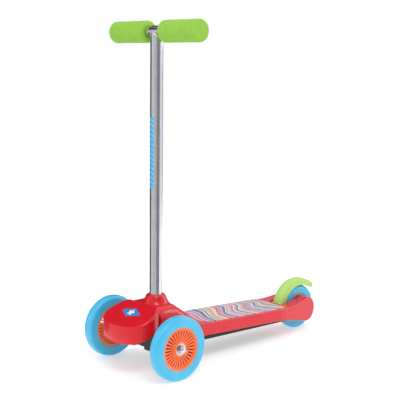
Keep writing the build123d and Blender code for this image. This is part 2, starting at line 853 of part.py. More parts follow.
with BuildPart() as nose_envelope:
    with BuildSketch(Plane.YZ):
        add(nose_side(0, nose_skirt))
    extrude(amount=through / 2, both=True)
    with BuildSketch():
        add(nose_plan(0))
    extrude(amount=through, mode=Mode.INTERSECT)
    nose_top = nose_envelope.faces().sort_by(Axis(nose_plane.origin, nose_plane.z_dir))[-1]
    rim = nose_top.edges().filter_by(lambda e: e.center().Y < station(-2 * panel_gap))
    fillet(rim, radius=nose_rim_radius)

badge_plane = Plane(
    origin=nose_plane.from_local_coords(Vector(0, -nose_overhang * badge_place, 0)),
    x_dir=(1, 0, 0),
    z_dir=nose_plane.z_dir,
)


def badge_outline(gap):
    """The badge's lozenge outline, drawn in by a gap."""
    share = 1 - gap / badge_half_width
    with BuildSketch() as outline:
        Polygon(
            (badge_half_length * share, 0),
            (0, badge_half_width * share),
            (-badge_half_length * share, 0),
            (0, -badge_half_width * share),
        )
        fillet(outline.vertices(), radius=badge_corner)
    return outline.sketch


with BuildPart() as nose_cavity:
    with BuildSketch(Plane.YZ):
        add(nose_side(shell_wall * 1.1, nose_skirt + 40))
    extrude(amount=through / 2, both=True)
    with BuildSketch():
        add(nose_plan(shell_wall))
    extrude(amount=through, mode=Mode.INTERSECT)

with BuildPart() as nose_cowl:
    add(nose_envelope.part)
    add(nose_cavity.part, mode=Mode.SUBTRACT)
    with BuildSketch(badge_plane.offset(-badge_recess)):
        add(badge_outline(0))
    extrude(amount=nose_skirt, mode=Mode.SUBTRACT)
    with BuildSketch(front_wall.offset(-shell_wall)):
        with Locations(*nose_screw_spots):
            Circle(screw_radius + press)
    extrude(amount=nose_screw_reach, mode=Mode.SUBTRACT)
finish(nose_cowl, "nose_cowl")

with BuildPart() as nose_badge:
    with BuildSketch(badge_plane.offset(-badge_recess)):
        add(badge_outline(2 * press))
    extrude(amount=badge_thickness)
finish(nose_badge, "nose_badge")


# ================================================================ T-bar
# A chromed stem that stands in the nylon sleeve, with a crossbar welded on top and two foam grips.
stem_foot_z = sleeve_bottom_z + shell_wall + 0.5
with BuildPart() as stem_sleeve:
    with BuildSketch(Plane.XY.offset(sleeve_bottom_z)):
        with Locations((0, stem_y)):
            Circle(stem_radius + sliding + sleeve_wall)
    extrude(amount=lip_z - panel_gap / 2 - sleeve_bottom_z)
    with BuildSketch(Plane.XY.offset(sleeve_bottom_z + shell_wall)):
        with Locations((0, stem_y)):
            Circle(stem_radius + sliding)
    extrude(amount=collar_top_z, mode=Mode.SUBTRACT)
    with BuildSketch(Plane.ZX.offset(stem_y)):
        with Locations((button_z, 0)):
            Circle(button_radius + 2 * sliding)
    extrude(amount=collar_foot_radius, mode=Mode.SUBTRACT)
finish(stem_sleeve, "stem_sleeve")

bar_axis = Location((0, stem_y, bar_height), (0, 90, 0))
with BuildPart() as stem_tube:
    with BuildSketch(Plane.XY.offset(stem_foot_z)):
        with Locations((0, stem_y)):
            Circle(stem_radius)
            Circle(stem_radius - tube_wall, mode=Mode.SUBTRACT)
    extrude(amount=bar_height - stem_foot_z)
    with Locations(bar_axis):
        Cylinder(bar_radius + press, 3 * stem_radius, mode=Mode.SUBTRACT)
    with BuildSketch(Plane.ZX.offset(stem_y)):
        with Locations((button_z, 0)):
            Circle(button_radius + sliding)
    extrude(amount=collar_foot_radius, mode=Mode.SUBTRACT)
finish(stem_tube, "stem_tube")

grip_end_wall = 8.0
bar_half_length = grip_outer_end - grip_end_wall
with BuildPart() as crossbar:
    with Locations(bar_axis):
        Cylinder(bar_radius, 2 * bar_half_length)
        Cylinder(bar_radius - tube_wall, 2 * bar_half_length, mode=Mode.SUBTRACT)
finish(crossbar, "crossbar")

groove_depth = 1.2
groove_half = 0.8
for name, side in (("left", 1), ("right", -1)):
    with BuildPart() as grip:
        with BuildSketch(Plane.XY.offset(bar_height)):
            with BuildLine():
                inner = side * grip_inner_end
                outer = side * grip_outer_end
                bore_y = stem_y - bar_radius - press
                skin_y = stem_y - grip_radius
                Polyline(
                    (inner, bore_y),
                    (side * bar_half_length + side * press, bore_y),
                    (side * bar_half_length + side * press, stem_y),
                    (outer, stem_y),
                    (outer, skin_y),
                    (inner, skin_y),
                    close=True,
                )
            make_face()
            for spot in (grip_inner_end + grip_groove_inset, grip_outer_end - grip_groove_inset):
                with Locations((side * spot, skin_y)):
                    Rectangle(2 * groove_half, 2 * groove_depth, mode=Mode.SUBTRACT)
        revolve(axis=Axis((0, stem_y, bar_height), (1, 0, 0)))
        round_edges = grip.edges().filter_by(
            lambda e: e.geom_type == GeomType.CIRCLE and abs(e.radius - grip_radius) < 0.1
        )
        outer_rim = round_edges.sort_by(Axis.X)[-1 if side > 0 else 0]
        inner_rim = round_edges.sort_by(Axis.X)[0 if side > 0 else -1]
        fillet(outer_rim, radius=grip_outer_round)
        fillet(inner_rim, radius=grip_inner_round)
    finish(grip, f"{name}_grip")

# The snap button: a steel pin on a V of spring strip inside the stem.
clip_wire = 1.0
clip_gap = 1.0  # the strip's flat back stands off the round tube
clip_back = 6.0  # the flat back reaches this far above and below the button
clip_bend_drop = 34.0
clip_tip_drop = 8.0
clip_bend_radius = 3.0
with BuildPart() as snap_button:
    with BuildSketch(Plane.ZX.offset(stem_y + stem_radius - tube_wall - clip_wire - clip_gap)):
        with Locations((button_z, 0)):
            Circle(button_radius)
    extrude(amount=tube_wall + clip_wire + clip_gap + button_reach)
    fillet(snap_button.faces().sort_by(Axis.Y)[-1].edges(), radius=1.2)
    with BuildSketch(Plane.YZ):
        with BuildLine():
            back_leg = stem_y + stem_radius - tube_wall - clip_wire / 2 - clip_gap
            front_leg = stem_y - stem_radius + tube_wall + clip_wire / 2 + clip_gap
            FilletPolyline(
                (back_leg, button_z + clip_back),
                (back_leg, button_z - clip_back),
                (stem_y, button_z - clip_bend_drop),
                (front_leg, button_z - clip_tip_drop),
                radius=clip_bend_radius,
            )
        trace(line_width=clip_wire)
    extrude(amount=button_radius, both=True)
finish(snap_button, "snap_button")


# ================================================================ underpan
# A black tray screwed up into the shell from below.
pan_half_width = deck_half_width - shell_wall - panel_gap
with BuildPart() as underpan:
    with BuildSketch(pan_plane):
        with Locations((0, pan_start)):
            Rectangle(2 * pan_half_width, pan_length, align=(Align.CENTER, Align.MIN))
    extrude(amount=pan_depth)
    fillet(underpan.edges().filter_by(lambda e: abs(e.center().X) > pan_half_width - 1).filter_by(
        lambda e: e.length < 2 * pan_depth), radius=3.0)
    with BuildSketch(pan_plane.offset(pan_wall)):
        with Locations((0, pan_start + pan_wall)):
            Rectangle(
                2 * (pan_half_width - pan_wall), pan_length - 2 * pan_wall, align=(Align.CENTER, Align.MIN)
            )
    extrude(amount=pan_depth, mode=Mode.SUBTRACT)
    with BuildSketch(pan_plane):
        with Locations(*pan_screw_spots):
            Circle(screw_radius + press)
    extrude(amount=pan_depth, mode=Mode.SUBTRACT)
finish(underpan, "underpan")


def make_screws(plane, spots, seat, reach):
    """Round-head screws driven up along the plane's Z axis, with their heads under the seat."""
    with BuildPart() as screws:
        with BuildSketch(plane.offset(seat - screw_head_height)):
            with Locations(*spots):
                Circle(screw_head_radius)
        extrude(amount=screw_head_height)
        with BuildSketch(plane.offset(seat)):
            with Locations(*spots):
                Circle(screw_radius)
        extrude(amount=reach)
    return screws


finish(make_screws(pan_plane, pan_screw_spots, 0, screw_length), "pan_screws")
finish(make_screws(plate_plane, plate_screw_spots, -plate_thickness, screw_length), "bracket_screws")
nose_screws = make_screws(nose_screw_plane, mirrored_spots, -panel_gap - shell_wall, screw_length - 2)
finish(nose_screws, "nose_screws")


# ================================================================ rear axle
# A bolt put in from the rider's right runs through the wheel into a nut in the left ear.
with BuildPart() as rear_axle:
    with BuildSketch(rear_middle.offset(-bolt_head_x)):
        RegularPolygon(bolt_head_radius, 6)
    extrude(amount=bolt_head_height)
    with BuildSketch(rear_middle.offset(-bolt_head_x)):
        Circle(axle_radius)
    extrude(amount=bolt_head_x + nut_outer_x - panel_gap)
finish(rear_axle, "rear_axle")
with BuildPart() as rear_axle_nut:
    with BuildSketch(rear_middle.offset(well_half_width + panel_gap)):
        RegularPolygon(nut_radius, 6)
        Circle(axle_radius + press, mode=Mode.SUBTRACT)
    extrude(amount=nut_outer_x - well_half_width - 2)
finish(rear_axle_nut, "rear_axle_nut")
rear_spacer_length = well_half_width - hub_bore_length / 2
rear_spacers = ring(
    rear_middle,
    (-well_half_width, hub_bore_length / 2),
    rear_spacer_length,
    axle_radius + press,
    axle_radius + spacer_wall,
)
finish(rear_spacers, "rear_spacers")


# ================================================================ brake
# A green fender that turns on a pin between the ears; the heel presses it on the rear tyre.
brake_inner = rear_wheel_radius + brake_gap
brake_half_width = rear_tyre_width / 2 + brake_side_gap + brake_wall
brake_start = 158.0  # degrees round the rear axle, from straight back over the top
brake_end = 70.0
brake_lead_in = 10.0  # straight foot below the arch
lug_radius = 6.8


def round_axle(radius, angle, x):
    """A point round the rear axle."""
    return Vector(
        x, rear_axle_y + radius * cos(radians(angle)), rear_axle_z + radius * sin(radians(angle))
    )


with BuildPart() as brake_fender:
    with BuildLine() as brake_run:
        arch = ThreePointArc(
            round_axle(brake_inner, brake_start, 0),
            round_axle(brake_inner, (brake_start + brake_end) / 2, 0),
            round_axle(brake_inner, brake_end, 0),
        )
        Line(arch @ 1, (arch @ 1) + (arch % 1) * brake_tail)
        Line((arch @ 0) - (arch % 0) * brake_lead_in, arch @ 0)
    foot = Plane(origin=brake_run.wires()[0] @ 0, x_dir=(-1, 0, 0), z_dir=arch % 0)
    with BuildSketch(foot):
        with BuildLine():
            wide = brake_half_width
            Spline(
                (wide, -brake_skirt),
                (wide * brake_haunch, brake_thickness * brake_haunch_rise),
                (0, brake_thickness),
                (-wide * brake_haunch, brake_thickness * brake_haunch_rise),
                (-wide, -brake_skirt),
                tangents=[(0, 1), (0, -1)],
            )
            Polyline(
                (-wide, -brake_skirt),
                (-wide + brake_wall, -brake_skirt),
                (-wide + brake_wall, 0),
                (wide - brake_wall, 0),
                (wide - brake_wall, -brake_skirt),
                (wide, -brake_skirt),
            )
        make_face()
    sweep(path=brake_run.wires()[0])
    with Locations(Location((0, pin_y, brake_pin_z), (0, 90, 0))):
        Cylinder(lug_radius, 2 * (brake_half_width - brake_wall))
    # the bore for the pin and the notch for the spring's coil
    with BuildSketch(Plane.YZ.offset(-through / 2)):
        with Locations((pin_y, brake_pin_z)):
            Circle(brake_pin_radius + running)
    extrude(amount=through, mode=Mode.SUBTRACT)
    with BuildSketch(Plane.YZ.offset(-spring_notch)):
        with Locations((pin_y, brake_pin_z)):
            Circle(lug_radius + 1.0)
    extrude(amount=2 * spring_notch, mode=Mode.SUBTRACT)
finish(brake_fender, "brake_fender")

with BuildPart() as brake_pin:
    with BuildSketch(Plane.YZ.offset(-pin_x)):
        with Locations((pin_y, brake_pin_z)):
            Circle(brake_pin_radius)
    extrude(amount=2 * pin_x)
finish(brake_pin, "brake_pin")

spring_wire = 1.2
spring_turns = 4
spring_pitch = spring_wire + 0.25
spring_radius = brake_pin_radius + spring_wire / 2 + 0.5
spring_start = -spring_turns * spring_pitch / 2
with BuildPart() as brake_spring:
    with BuildLine():
        coil = Helix(
            pitch=spring_pitch,
            height=spring_turns * spring_pitch,
            radius=spring_radius,
            center=(spring_start, pin_y, brake_pin_z),
            direction=(1, 0, 0),
        )
    with BuildSketch(Plane(origin=coil @ 0, z_dir=coil % 0)):
        Circle(spring_wire / 2)
    sweep(path=coil, is_frenet=True)
finish(brake_spring, "brake_spring")
for piece, name in (
    (axle_carrier, "axle_carrier"),
    (front_axle, "front_axle"),
    (axle_spacers, "axle_spacers"),
    (axle_washers, "axle_washers"),
    (axle_nuts, "axle_nuts"),
    (steering_bracket, "steering_bracket"),
    (kingpin, "kingpin"),
    (kingpin_nut, "kingpin_nut"),
    (deck_shell, "deck_shell"),
    (deck_mat, "deck_mat"),
    (make_bushing(bushing_middle), "upper_bushing"),
    (make_bushing(-bushing_middle), "lower_bushing"),
):
    finish(piece, name)
print(len(finished), "pieces written")
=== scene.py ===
import json
from math import cos, exp, pi, radians, sin

import bmesh
import bpy
from mathutils import Matrix, Vector


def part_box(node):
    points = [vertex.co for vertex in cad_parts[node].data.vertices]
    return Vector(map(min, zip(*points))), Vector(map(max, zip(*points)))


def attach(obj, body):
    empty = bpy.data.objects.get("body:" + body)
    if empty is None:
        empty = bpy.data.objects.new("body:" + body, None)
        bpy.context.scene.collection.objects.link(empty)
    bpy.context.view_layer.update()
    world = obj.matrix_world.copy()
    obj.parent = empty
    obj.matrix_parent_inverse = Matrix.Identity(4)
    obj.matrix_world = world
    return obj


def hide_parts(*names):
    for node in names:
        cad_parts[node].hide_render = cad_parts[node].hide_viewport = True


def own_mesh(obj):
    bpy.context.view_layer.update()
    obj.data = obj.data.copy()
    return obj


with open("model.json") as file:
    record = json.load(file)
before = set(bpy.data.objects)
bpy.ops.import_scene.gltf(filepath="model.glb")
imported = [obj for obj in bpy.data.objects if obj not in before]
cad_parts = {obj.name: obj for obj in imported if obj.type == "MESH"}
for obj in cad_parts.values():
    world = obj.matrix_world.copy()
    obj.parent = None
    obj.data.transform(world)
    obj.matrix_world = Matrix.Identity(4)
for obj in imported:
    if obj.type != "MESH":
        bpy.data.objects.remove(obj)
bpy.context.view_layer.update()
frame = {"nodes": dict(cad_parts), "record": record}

scene = bpy.context.scene
MM = 0.001


# ---- Studio: a pale paper floor, soft white lights, cards for the chrome and the camera.
# The camera stands ahead of the scooter, on its left, at about the height of the handlebar,
# with a long lens, and takes in the whole scooter.


class Field:
    """One output of a shader node, which adds and multiplies like a number."""

    def __init__(self, finish, socket):
        self.finish = finish
        self.socket = socket

    def math(self, operation, *others, **settings):
        values = dict(enumerate((self, *others)))
        return self.finish.node("ShaderNodeMath", {"operation": operation, **settings}, values)

    def __add__(self, other):
        return self.math("ADD", other)

    def __sub__(self, other):
        return self.math("SUBTRACT", other)

    def __rsub__(self, other):
        return self.finish.node("ShaderNodeMath", {"operation": "SUBTRACT"}, {0: other, 1: self})

    def __mul__(self, other):
        return self.math("MULTIPLY", other)

    def __truediv__(self, other):
        return self.math("DIVIDE", other)

    def __pow__(self, other):
        return self.math("POWER", other)

    def __gt__(self, other):
        return self.math("GREATER_THAN", other)

    __radd__ = __add__
    __rmul__ = __mul__

    def sine(self):
        return self.math("SINE")

    def most(self, other):
        return self.math("MAXIMUM", other)

    def cut(self):
        """Kept between 0 and 1."""
        return self.math("MULTIPLY", 1.0, use_clamp=True)

    def step(self, low, high):
        """0 below low, 1 above high, and smooth between."""
        return self.finish.node(
            "ShaderNodeMapRange",
            {"interpolation_type": "SMOOTHSTEP"},
            {"Value": self, "From Min": low, "From Max": high},
        )


class Finish:
    """A material made from a Principled shader, whose fixed values are given by name."""

    def __init__(self, name, **fixed):
        self.material = bpy.data.materials.new(name)
        self.material.use_nodes = True
        self.tree = self.material.node_tree
        self.tree.nodes.clear()
        self.shader = self.tree.nodes.new("ShaderNodeBsdfPrincipled")
        output = self.tree.nodes.new("ShaderNodeOutputMaterial")
        self.tree.links.new(self.shader.outputs[0], output.inputs[0])
        for socket, value in fixed.items():
            self.set(socket.replace("_", " "), value)

    def feed(self, socket, value):
        if isinstance(value, Field):
            self.tree.links.new(value.socket, socket)
        elif socket.type == "RGBA":
            socket.default_value = (*value[:3], 1.0)
        else:
            socket.default_value = value

    def set(self, socket, value):
        self.feed(self.shader.inputs[socket], value)

    def node(self, kind, settings=None, values=None, output=0):
        """Adds a node: its settings first, then what goes into its sockets."""
        made = self.tree.nodes.new(kind)
        for key, value in (settings or {}).items():
            if key == "stops":
                for at, colour in value[2:]:
                    made.color_ramp.elements.new(at)
                for element, (at, colour) in zip(made.color_ramp.elements, value):
                    element.position = at
                    element.color = (*colour, 1.0)
            elif key == "blend":
                made.color_ramp.interpolation = value
            else:
                setattr(made, key, value)
        for socket, value in (values or {}).items():
            self.feed(made.inputs[socket], value)
        return Field(self, made.outputs[output])

    def place(self, scale=(1, 1, 1), shift=(0, 0, 0), turn=(0, 0, 0)):
        """Object coordinates in millimetres, scaled, turned and shifted."""
        raw = self.node("ShaderNodeTexCoord", output=3)
        in_mm = tuple(s / MM for s in scale)
        return self.node(
            "ShaderNodeMapping", {}, {"Vector": raw, "Location": shift, "Rotation": turn, "Scale": in_mm}
        )

    def axes(self, vector=None):
        """X, Y and Z of a vector, which is the place in millimetres unless given."""
        made = self.tree.nodes.new("ShaderNodeSeparateXYZ")
        self.feed(made.inputs[0], vector or self.place())
        return [Field(self, o) for o in made.outputs]

    def noise(self, grain, detail=3.0, rough=0.5, where=None):
        """Soft noise about 0.5, whose patches are about grain millimetres across."""
        values = {"Vector": where or self.place(), "Scale": 1 / grain, "Detail": detail, "Roughness": rough}
        return self.node("ShaderNodeTexNoise", {}, values)

    def mix(self, share, a, b):
        """Colour a where share is 0 and colour b where it is 1."""
        return self.node(
            "ShaderNodeMix", {"data_type": "RGBA"}, {0: share, 6: a, 7: b}, output=2
        )

    def shade(self, colour, amount):
        """A colour made lighter or darker by a field."""
        grey = self.node("ShaderNodeCombineColor", {}, {0: amount, 1: amount, 2: amount})
        return self.node(
            "ShaderNodeMix", {"data_type": "RGBA", "blend_type": "MULTIPLY"}, {0: 1.0, 6: colour, 7: grey},
            output=2,
        )

    def relief(self, height, depth):
        """Gives the surface a bump: height is a field and depth its size in millimetres."""
        bump = {"Strength": 1.0, "Distance": depth * MM, "Height": height}
        self.set("Normal", self.node("ShaderNodeBump", {}, bump))


def sRGB(red, green, blue):
    """A colour chart's 0 to 255 values as Blender's linear ones."""
    return tuple(((v / 255 + 0.055) / 1.055) ** 2.4 if v > 10 else v / 3295 for v in (red, green, blue))


def linked(name, mesh):
    piece = bpy.data.objects.new(name, mesh)
    scene.collection.objects.link(piece)
    return piece


def grid_mesh(name, rows, closed_rows=False, closed_columns=False):
    """A mesh from rows of points of equal length, joined into four-sided faces."""
    across = len(rows[0])
    corners = [point for row in rows for point in row]
    faces = []
    for i in range(len(rows) - (not closed_rows)):
        for j in range(across - (not closed_columns)):
            k = (i + 1) % len(rows)
            m = (j + 1) % across
            faces.append((i * across + j, i * across + m, k * across + m, k * across + j))
    mesh = bpy.data.meshes.new(name)
    mesh.from_pydata(corners, [], faces)
    return mesh


# The floor is faintly lit from within, so that shadows stay soft, and fades out to the backdrop.
paper_fade_start = 900
paper_fade_end = 2600
floor_half = 3.0
paper = Finish("pale_paper", Roughness=0.8, Specular_IOR_Level=0.1)
paper_fleck = paper.noise(40, 4)
paper.set("Base Color", paper.mix(paper_fleck, (0.76, 0.76, 0.76), (0.79, 0.79, 0.79)))
paper.shader.inputs["Emission Strength"].default_value = 0.42
paper.set("Emission Color", (1.0, 1.0, 1.0))
floor_x, floor_y, _ = paper.axes()
from_middle = (floor_x * floor_x + floor_y * floor_y).math("SQRT")
paper.set("Alpha", 1 - from_middle.step(paper_fade_start, paper_fade_end))
floor_rows = [[Vector((x, y, 0)) for x in (-floor_half, floor_half)] for y in (-floor_half, floor_half)]
floor = linked("studio_floor", grid_mesh("studio_floor", floor_rows))
floor.data.materials.append(paper.material)

# The room: brightness round the horizon, as shares of a turn from straight behind -X, and a
# pale ceiling. The camera itself sees plain white behind the scooter.
room = bpy.data.worlds.new("studio_room")
room.use_nodes = True
room_tree = room.node_tree
room_nodes = room_tree.nodes
air = room_nodes["Background"]
look = room_nodes.new("ShaderNodeTexCoord")
split = room_nodes.new("ShaderNodeSeparateXYZ")
room_tree.links.new(look.outputs["Generated"], split.inputs[0])
bearing = room_nodes.new("ShaderNodeMath")
bearing.operation = "ARCTAN2"
room_tree.links.new(split.outputs["Y"], bearing.inputs[0])
room_tree.links.new(split.outputs["X"], bearing.inputs[1])
share = room_nodes.new("ShaderNodeMapRange")
share.inputs["From Min"].default_value = -pi
share.inputs["From Max"].default_value = pi
room_tree.links.new(bearing.outputs[0], share.inputs["Value"])
walls = room_nodes.new("ShaderNodeValToRGB")
room_tree.links.new(share.outputs[0], walls.inputs[0])
wall_light = (
    (0.00, 0.05), (0.05, 0.30), (0.10, 0.75), (0.40, 0.75), (0.44, 0.30),
    (0.52, 0.22), (0.56, 0.85), (0.68, 1.00), (0.74, 0.55), (0.93, 0.50), (0.97, 0.05),
)
for at, light in wall_light[2:]:
    walls.color_ramp.elements.new(at)
for stop, (at, light) in zip(walls.color_ramp.elements, wall_light):
    stop.position = at
    stop.color = (light, light, light * 1.03, 1.0)
ceiling = room_nodes.new("ShaderNodeMapRange")
ceiling.inputs["From Min"].default_value = 0.35
ceiling.inputs["From Max"].default_value = 0.75
room_tree.links.new(split.outputs["Z"], ceiling.inputs["Value"])
above = room_nodes.new("ShaderNodeMix")
above.data_type = "RGBA"
room_tree.links.new(ceiling.outputs[0], above.inputs[0])
room_tree.links.new(walls.outputs[0], above.inputs[6])
above.inputs[7].default_value = (0.9, 0.9, 0.9, 1.0)
seen = room_nodes.new("ShaderNodeLightPath")
backdrop = room_nodes.new("ShaderNodeMix")
backdrop.data_type = "RGBA"
room_tree.links.new(seen.outputs["Is Camera Ray"], backdrop.inputs[0])
room_tree.links.new(above.outputs[2], backdrop.inputs[6])
backdrop.inputs[7].default_value = (1.0, 1.0, 1.0, 1.0)
room_tree.links.new(backdrop.outputs[2], air.inputs["Color"])
air.inputs["Strength"].default_value = 1.0
scene.world = room


def softbox(name, where, towards, width, height, watts):
    light = bpy.data.lights.new(name, "AREA")
    light.shape = "RECTANGLE"
    light.size = width
    light.size_y = height
    light.energy = watts
    lamp = bpy.data.objects.new(name, light)
    scene.collection.objects.link(lamp)
    lamp.location = where
    lamp.rotation_euler = (Vector(towards) - Vector(where)).to_track_quat("-Z", "Y").to_euler()


# Cards stand round the stem, each from one bearing in degrees to another.
stem_low, stem_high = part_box("stem_tube")
stem_y = (stem_low.y + stem_high.y) / 2
card_foot_reach = 0.3
card_top_reach = 0.8
card_foot_z = 0.002
card_panels = 12


def flag(name, start, stop, height, grey):
    """A card that leans away from the stem, seen only in reflections, which draws its stripes."""
    bend = [radians(start + (stop - start) * i / card_panels) for i in range(card_panels + 1)]
    foot = Vector((0, stem_y, 0))
    rows = [
        [foot + Vector((cos(a), sin(a), 0)) * reach + Vector((0, 0, z)) for a in bend]
        for reach, z in ((card_foot_reach, card_foot_z), (card_top_reach, height))
    ]
    card = linked(name, grid_mesh(name, rows))
    cloth = Finish(name + "_cloth", Roughness=0.9)
    cloth.set("Base Color", cloth.mix(cloth.noise(20, 2), (grey, grey, grey), (grey * 1.2,) * 3))
    card.data.materials.append(cloth.material)
    card.visible_camera = False
    card.visible_diffuse = False
    card.visible_shadow = False


flag("side_flag", -36, 20, 0.9, 0.3)
flag("back_flag", 132, 217, 1.3, 0.02)
flag("front_flag", -143, -38, 0.9, 0.6)

middle = (0.0, 0.0, 0.25)
softbox("key_light", (1.3, -0.9, 2.1), middle, 1.0, 1.0, 17)
softbox("fill_light", (-1.2, -2.2, 1.4), middle, 1.6, 1.6, 8)
softbox("back_light", (0.9, 2.0, 1.2), middle, 0.8, 1.2, 8)

camera_yaw = radians(47.77)
camera_pitch = radians(-8.42)
camera_roll = radians(0.63)
camera_place = (1.34158, -1.27936, 0.57529)
level = Vector((cos(camera_yaw), sin(camera_yaw), 0))
forward = Vector((-sin(camera_yaw), cos(camera_yaw), 0))
ahead = forward * cos(camera_pitch) + Vector((0, 0, sin(camera_pitch)))
upright = level.cross(ahead)
right = cos(camera_roll) * level + sin(camera_roll) * upright
upwards = cos(camera_roll) * upright - sin(camera_roll) * level
lens = bpy.data.cameras.new("studio_camera")
lens.lens = 84.53
lens.sensor_width = 36.0
camera = bpy.data.objects.new("studio_camera", lens)
scene.collection.objects.link(camera)
camera_turn = Matrix((right, upwards, -ahead)).transposed().to_4x4()
camera.matrix_world = Matrix.Translation(camera_place) @ camera_turn
scene.camera = camera
scene.view_settings.view_transform = "Standard"


# ---- Deck shell and nose: the red body that the rider stands on, and the cap in front of it.
# Both are injection-moulded polypropylene with a high gloss. The nose is a separate moulding,
# held to the front wall of the deck by two screws. Shoes scuff the edges of both.


def moulded(node, name, sharp=32):
    """A piece with a CAD node's shape, merged to one skin and smooth but for its sharp edges."""
    mesh = frame["nodes"][node].data.copy()
    mesh.name = name
    skin = bmesh.new()
    skin.from_mesh(mesh)
    bmesh.ops.remove_doubles(skin, verts=skin.verts, dist=2e-6)
    bmesh.ops.dissolve_degenerate(skin, edges=skin.edges, dist=1e-7)
    for face in skin.faces:
        face.smooth = True
    for edge in skin.edges:
        edge.smooth = len(edge.link_faces) == 2 and edge.calc_face_angle(0) < radians(sharp)
    skin.to_mesh(mesh)
    skin.free()
    mesh.materials.clear()
    piece = linked(name, mesh)
    even = piece.modifiers.new("even_shading", "WEIGHTED_NORMAL")
    even.keep_sharp = True
    return piece


def fitted(piece, finish, body, slot, *nodes):
    """Gives a piece its finish and its body, and hides the CAD nodes that it stands for. The slot is not
    used.
    """
    piece.data.materials.clear()
    piece.data.materials.append(finish.material)
    for face in piece.data.polygons:
        face.material_index = 0
    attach(piece, body)
    if nodes:
        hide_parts(*nodes)
    return piece


def edge_wear(finish, reach=1.2):
    """1 at sharp convex edges and 0 on flats, broken up by noise."""
    soft = finish.node("ShaderNodeBevel", {"samples": 4}, {"Radius": reach * MM})
    true = finish.node("ShaderNodeNewGeometry", output=1)
    agree = finish.node("ShaderNodeVectorMath", {"operation": "DOT_PRODUCT"}, {0: soft, 1: true}, output=1)
    return ((1 - agree) * 6 * finish.noise(3, 4)).cut()


red = Finish("red_polypropylene", IOR=1.46, Coat_Roughness=0.1, Specular_IOR_Level=0.42)
red_cloud = red.noise(60, 3)
red_scuff = edge_wear(red)
red_tone = red.mix(red_cloud, sRGB(208, 14, 32), sRGB(222, 18, 38))
red.set("Base Color", red.mix(red_scuff * 0.5, red_tone, sRGB(236, 70, 84)))
red.set("Roughness", 0.16 + red.noise(25, 4) * 0.12 + red_scuff * 0.25)
red.set("Coat Weight", 0.3 - red_scuff * 0.2)
red.relief(red.noise(2.2, 2) * 0.7 + red.noise(14, 2), 0.05)

fitted(moulded("deck_shell", "deck_body"), red, "deck", "red_shell", "deck_shell")
fitted(moulded("nose_cowl", "nose_cap"), red, "deck", "red_shell", "nose_cowl")


# ---- Underside: the black tray that closes the deck, and the truck and bracket that steer it.
# The tray is matt polypropylene, screwed on from below. The truck is moulded from glass-filled
# nylon, and its steel bracket is coated with nylon. All have a fine grain.

tray = Finish("black_polypropylene", IOR=1.48)
tray_dust = tray.noise(9, 5, 0.65).step(0.5, 0.8)
tray_rub = edge_wear(tray, 0.8)
tray.set("Base Color", tray.mix(tray_dust * 0.35 + tray_rub * 0.4, sRGB(15, 15, 17), sRGB(54, 52, 50)))
tray.set("Roughness", 0.42 + tray.noise(6, 4) * 0.25)
tray.relief(tray.noise(0.7, 2), 0.06)

nylon = Finish("glass_filled_nylon", IOR=1.52)
nylon_flow = nylon.noise(18, 4, 0.6, nylon.place((1, 3, 1)))
nylon_rub = edge_wear(nylon, 0.8)
nylon.set("Base Color", nylon.mix(nylon_flow * 0.4 + nylon_rub * 0.4, sRGB(12, 12, 14), sRGB(44, 44, 46)))
nylon.set("Roughness", 0.34 + nylon_flow * 0.3)
nylon.relief(nylon.noise(0.5, 1) + nylon.noise(5, 2) * 0.5, 0.05)

fitted(moulded("underpan", "deck_tray"), tray, "deck", "black_tray", "underpan")
fitted(moulded("axle_carrier", "truck_beam"), nylon, "truck", "black_nylon", "axle_carrier")
fitted(moulded("steering_bracket", "truck_bracket"), nylon, "deck", "black_nylon", "steering_bracket")
fitted(moulded("stem_sleeve", "stem_socket"), nylon, "deck", "black_nylon", "stem_sleeve")


# ---- Deck mat: a thin non-slip sheet let into the deck, printed with wavy rainbow stripes.
# It is embossed rubbery vinyl, die-cut to the deck's outline and glued down. The stripes loop
# forwards in two rows of tongues and run back along both sides.

inks = {
    "l": (204, 188, 228),  # lilac
    "g": (98, 138, 64),  # green
    "c": (226, 216, 168),  # cream
    "y": (206, 186, 84),  # yellow
    "o": (236, 160, 56),  # orange
    "r": (198, 30, 44),  # red
    "p": (232, 150, 168),  # pink
    "w": (238, 228, 240),  # white
    "s": (176, 206, 238),  # sky
    "b": (84, 138, 204),  # blue
    "k": (26, 30, 52),  # black
    "n": (150, 164, 180),  # grey
    "d": (46, 78, 150),  # dark blue
    "m": (222, 100, 116),  # rose
}
front_inks = "lglcolrwrsbkwgclypwcrpmlbkwnclpr"
rear_inks = "wlnkwclyprlrsblswkkwgwcobdwrwpmw"
ink_width = 4.1
first_ink = 98.0  # behind the front axle, like all stations here
first_tongue = 125
tongue_slant = 0.9
tongue_drift = 0.19
fold_drift = 0.13
tip_round = 15.5
fold_round = 60
ink_wander = 5
axle_low, axle_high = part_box("front_axle")
front_axle_y = (axle_low.y + axle_high.y) / 2 / MM
vinyl = Finish("printed_vinyl", IOR=1.47, Specular_IOR_Level=0.4)
across, along, _ = vinyl.axes()
station = along - front_axle_y
# each stripe is a tongue: its tip lies at tongue_x, and its sides run back from there
march = station - first_tongue - (15 - across).most(0) * tongue_slant
tongue_x = 30 - march * tongue_drift
fold_x = march * fold_drift - 42
folded = ((across - fold_x) ** 2 + fold_round).math("SQRT") + fold_x
far_run = march * 0.008 + 0.45
near_run = march * 0.0035 + 0.08
beside = folded - tongue_x
run_back = (beside * beside + tip_round**2).math("SQRT") - tip_round
swept = run_back * (far_run + near_run) * 0.5 + beside * (near_run - far_run) * 0.5
wobble = (vinyl.noise(24, 1) - 0.5) * ink_wander
ink_share = (station - swept + wobble - first_ink) / (ink_width * len(front_inks))


